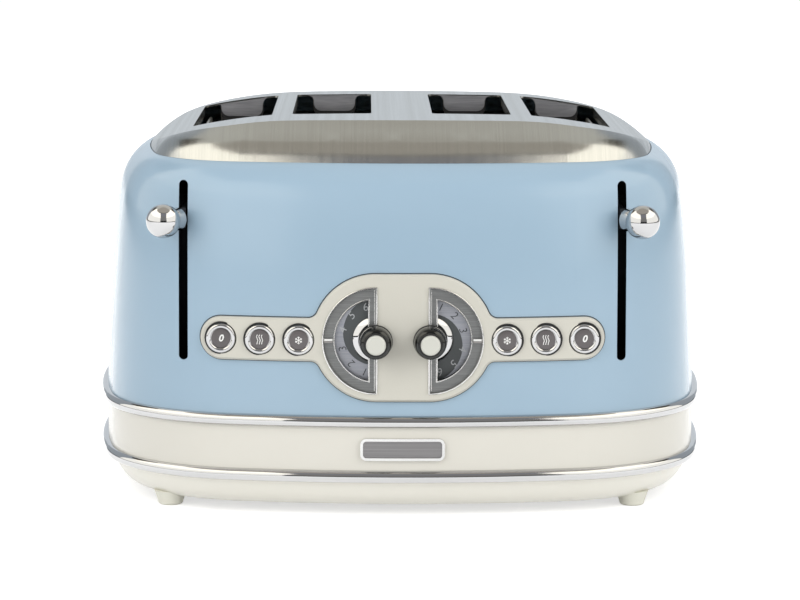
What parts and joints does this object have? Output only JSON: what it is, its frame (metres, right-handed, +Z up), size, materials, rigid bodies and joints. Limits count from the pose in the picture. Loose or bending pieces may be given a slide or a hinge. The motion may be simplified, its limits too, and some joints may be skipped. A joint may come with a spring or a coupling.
{
  "type": "toaster",
  "caption": "Retro side-by-side toaster with rounded enamelled body, steel top, chrome belts, levers, browning dials, push buttons and crumb trays.",
  "frame": {"origin": "on the table, under the centre of the bounding box", "axes": "+X to the right of the front, +Y to the rear, +Z up; the levers and dials face -Y"},
  "size_m": [0.312, 0.3168, 0.1911],
  "materials": {
    "blue_paint": "glossy enamel",
    "top_steel": "brushed along the width",
    "trim_chrome": "bright",
    "cream_paint": "glossy cream",
    "cream_panel": "satin cream",
    "foot_cream": "matt cream",
    "dial_grey": "satin grey",
    "disc_grey": "printed satin",
    "knob_dark": "dark chrome",
    "insert_dark": "dark grey",
    "steel_sheet": "plain",
    "steel_wire": "plain wire",
    "mica": "mica sheet",
    "ribbon": "heating ribbon",
    "board_green": "circuit board",
    "magnet_dark": "plain",
    "gland_black": "matt",
    "badge_grey": "brushed grey"
  },
  "bodies": {
    "casing": {"badge_frame": "trim_chrome", "badge_plate": "badge_grey", "base_band": "cream_paint", "base_pan": "cream_paint", "base_screws": "steel_wire", "body_shell": "blue_paint", "chamber_front_plate": "steel_sheet", "chamber_rear_plate": "steel_sheet", "chamber_side_plates": "steel_sheet", "control_boards": "board_green", "control_panel": "cream_panel", "cord_gland": "gland_black", "feet": "foot_cream", "guide_rods": "steel_wire", "heater_boards": "mica", "heater_windings": "ribbon", "hold_magnets": "magnet_dark", "left_dial_band": "dial_grey", "left_gauge_frame": "trim_chrome", "left_return_spring": "steel_wire", "lower_trim_ring": "trim_chrome", "right_dial_band": "dial_grey", "right_gauge_frame": "trim_chrome", "right_return_spring": "steel_wire", "top_plate": "top_steel", "upper_trim_ring": "trim_chrome"},
    "left_lever": {"left_carriage": "steel_sheet", "left_bread_racks": "steel_sheet", "left_lever_knob": "trim_chrome"},
    "left_knob": {"left_browning_knob": "knob_dark", "left_knob_cap": "cream_panel", "left_number_disc": "disc_grey"},
    "left_tray": {"left_crumb_tray": "steel_sheet"},
    "left_stop": {"left_stop_button": "trim_chrome", "left_stop_insert": "insert_dark"},
    "left_reheat": {"left_reheat_button": "trim_chrome", "left_reheat_insert": "insert_dark"},
    "left_defrost": {"left_defrost_button": "trim_chrome", "left_defrost_insert": "insert_dark"},
    "right_lever": {"right_carriage": "steel_sheet", "right_bread_racks": "steel_sheet", "right_lever_knob": "trim_chrome"},
    "right_knob": {"right_browning_knob": "knob_dark", "right_knob_cap": "cream_panel", "right_number_disc": "disc_grey"},
    "right_tray": {"right_crumb_tray": "steel_sheet"},
    "right_stop": {"right_stop_button": "trim_chrome", "right_stop_insert": "insert_dark"},
    "right_reheat": {"right_reheat_button": "trim_chrome", "right_reheat_insert": "insert_dark"},
    "right_defrost": {"right_defrost_button": "trim_chrome", "right_defrost_insert": "insert_dark"},
    "guide_1": {"bread_guide_1": "steel_wire"},
    "guide_2": {"bread_guide_2": "steel_wire"},
    "guide_3": {"bread_guide_3": "steel_wire"},
    "guide_4": {"bread_guide_4": "steel_wire"},
    "guide_5": {"bread_guide_5": "steel_wire"},
    "guide_6": {"bread_guide_6": "steel_wire"},
    "guide_7": {"bread_guide_7": "steel_wire"},
    "guide_8": {"bread_guide_8": "steel_wire"}
  },
  "joints": [
    {"name": "left_lever_slide", "type": "slide", "parent": "casing", "child": "left_lever", "axis": [0, 0, 1], "range_m": [-0.0625, 0.0115], "stiffness_N_per_m": 80, "springref_m": 0.01839, "deforming": ["left_return_spring"]},
    {"name": "left_knob_turn", "type": "hinge", "parent": "casing", "child": "left_knob", "pos_m": [-0.0131, -0.14375, 0.0884], "axis": [0, 1, 0], "range_deg": [-75, 75]},
    {"name": "left_tray_slide", "type": "slide", "parent": "casing", "child": "left_tray", "axis": [0, 1, 0], "range_m": [0, 0.19]},
    {"name": "left_stop_press", "type": "slide", "parent": "casing", "child": "left_stop", "axis": [0, 1, 0], "range_m": [0, 0.0025], "stiffness_N_per_m": 400, "springref_m": -0.001},
    {"name": "left_reheat_press", "type": "slide", "parent": "casing", "child": "left_reheat", "axis": [0, 1, 0], "range_m": [0, 0.0025], "stiffness_N_per_m": 400, "springref_m": -0.001},
    {"name": "left_defrost_press", "type": "slide", "parent": "casing", "child": "left_defrost", "axis": [0, 1, 0], "range_m": [0, 0.0025], "stiffness_N_per_m": 400, "springref_m": -0.001},
    {"name": "right_lever_slide", "type": "slide", "parent": "casing", "child": "right_lever", "axis": [0, 0, 1], "range_m": [-0.0625, 0.0115], "stiffness_N_per_m": 80, "springref_m": 0.01839, "deforming": ["right_return_spring"]},
    {"name": "right_knob_turn", "type": "hinge", "parent": "casing", "child": "right_knob", "pos_m": [0.0131, -0.14375, 0.0884], "axis": [0, 1, 0], "range_deg": [-75, 75]},
    {"name": "right_tray_slide", "type": "slide", "parent": "casing", "child": "right_tray", "axis": [0, 1, 0], "range_m": [0, 0.19]},
    {"name": "right_stop_press", "type": "slide", "parent": "casing", "child": "right_stop", "axis": [0, 1, 0], "range_m": [0, 0.0025], "stiffness_N_per_m": 400, "springref_m": -0.001},
    {"name": "right_reheat_press", "type": "slide", "parent": "casing", "child": "right_reheat", "axis": [0, 1, 0], "range_m": [0, 0.0025], "stiffness_N_per_m": 400, "springref_m": -0.001},
    {"name": "right_defrost_press", "type": "slide", "parent": "casing", "child": "right_defrost", "axis": [0, 1, 0], "range_m": [0, 0.0025], "stiffness_N_per_m": 400, "springref_m": -0.001},
    {"name": "guide_1_lean", "type": "hinge", "parent": "casing", "child": "guide_1", "pos_m": [-0.0183, 0.00528, 0.0536], "axis": [0, 1, 0], "range_deg": [-3.57, 0.68]},
    {"name": "guide_2_lean", "type": "hinge", "parent": "casing", "child": "guide_2", "pos_m": [-0.0523, 0.00528, 0.0536], "axis": [0, 1, 0], "range_deg": [-0.68, 3.57]},
    {"name": "guide_3_lean", "type": "hinge", "parent": "casing", "child": "guide_3", "pos_m": [-0.0685, 0.00528, 0.0536], "axis": [0, 1, 0], "range_deg": [-3.57, 0.68]},
    {"name": "guide_4_lean", "type": "hinge", "parent": "casing", "child": "guide_4", "pos_m": [-0.1025, 0.00528, 0.0536], "axis": [0, 1, 0], "range_deg": [-0.68, 3.57]},
    {"name": "guide_5_lean", "type": "hinge", "parent": "casing", "child": "guide_5", "pos_m": [0.0183, 0.00528, 0.0536], "axis": [0, 1, 0], "range_deg": [-0.68, 3.57]},
    {"name": "guide_6_lean", "type": "hinge", "parent": "casing", "child": "guide_6", "pos_m": [0.0523, 0.00528, 0.0536], "axis": [0, 1, 0], "range_deg": [-3.57, 0.68]},
    {"name": "guide_7_lean", "type": "hinge", "parent": "casing", "child": "guide_7", "pos_m": [0.0685, 0.00528, 0.0536], "axis": [0, 1, 0], "range_deg": [-0.68, 3.57]},
    {"name": "guide_8_lean", "type": "hinge", "parent": "casing", "child": "guide_8", "pos_m": [0.1025, 0.00528, 0.0536], "axis": [0, 1, 0], "range_deg": [-3.57, 0.68]}
  ],
  "couplings": [
    {"joint": "guide_1_lean", "follows": "left_lever_slide", "rad_per_m": 0.97738},
    {"joint": "guide_2_lean", "follows": "left_lever_slide", "rad_per_m": -0.97738},
    {"joint": "guide_3_lean", "follows": "left_lever_slide", "rad_per_m": 0.97738},
    {"joint": "guide_4_lean", "follows": "left_lever_slide", "rad_per_m": -0.97738},
    {"joint": "guide_5_lean", "follows": "right_lever_slide", "rad_per_m": -0.97738},
    {"joint": "guide_6_lean", "follows": "right_lever_slide", "rad_per_m": 0.97738},
    {"joint": "guide_7_lean", "follows": "right_lever_slide", "rad_per_m": -0.97738},
    {"joint": "guide_8_lean", "follows": "right_lever_slide", "rad_per_m": 0.97738}
  ]
}
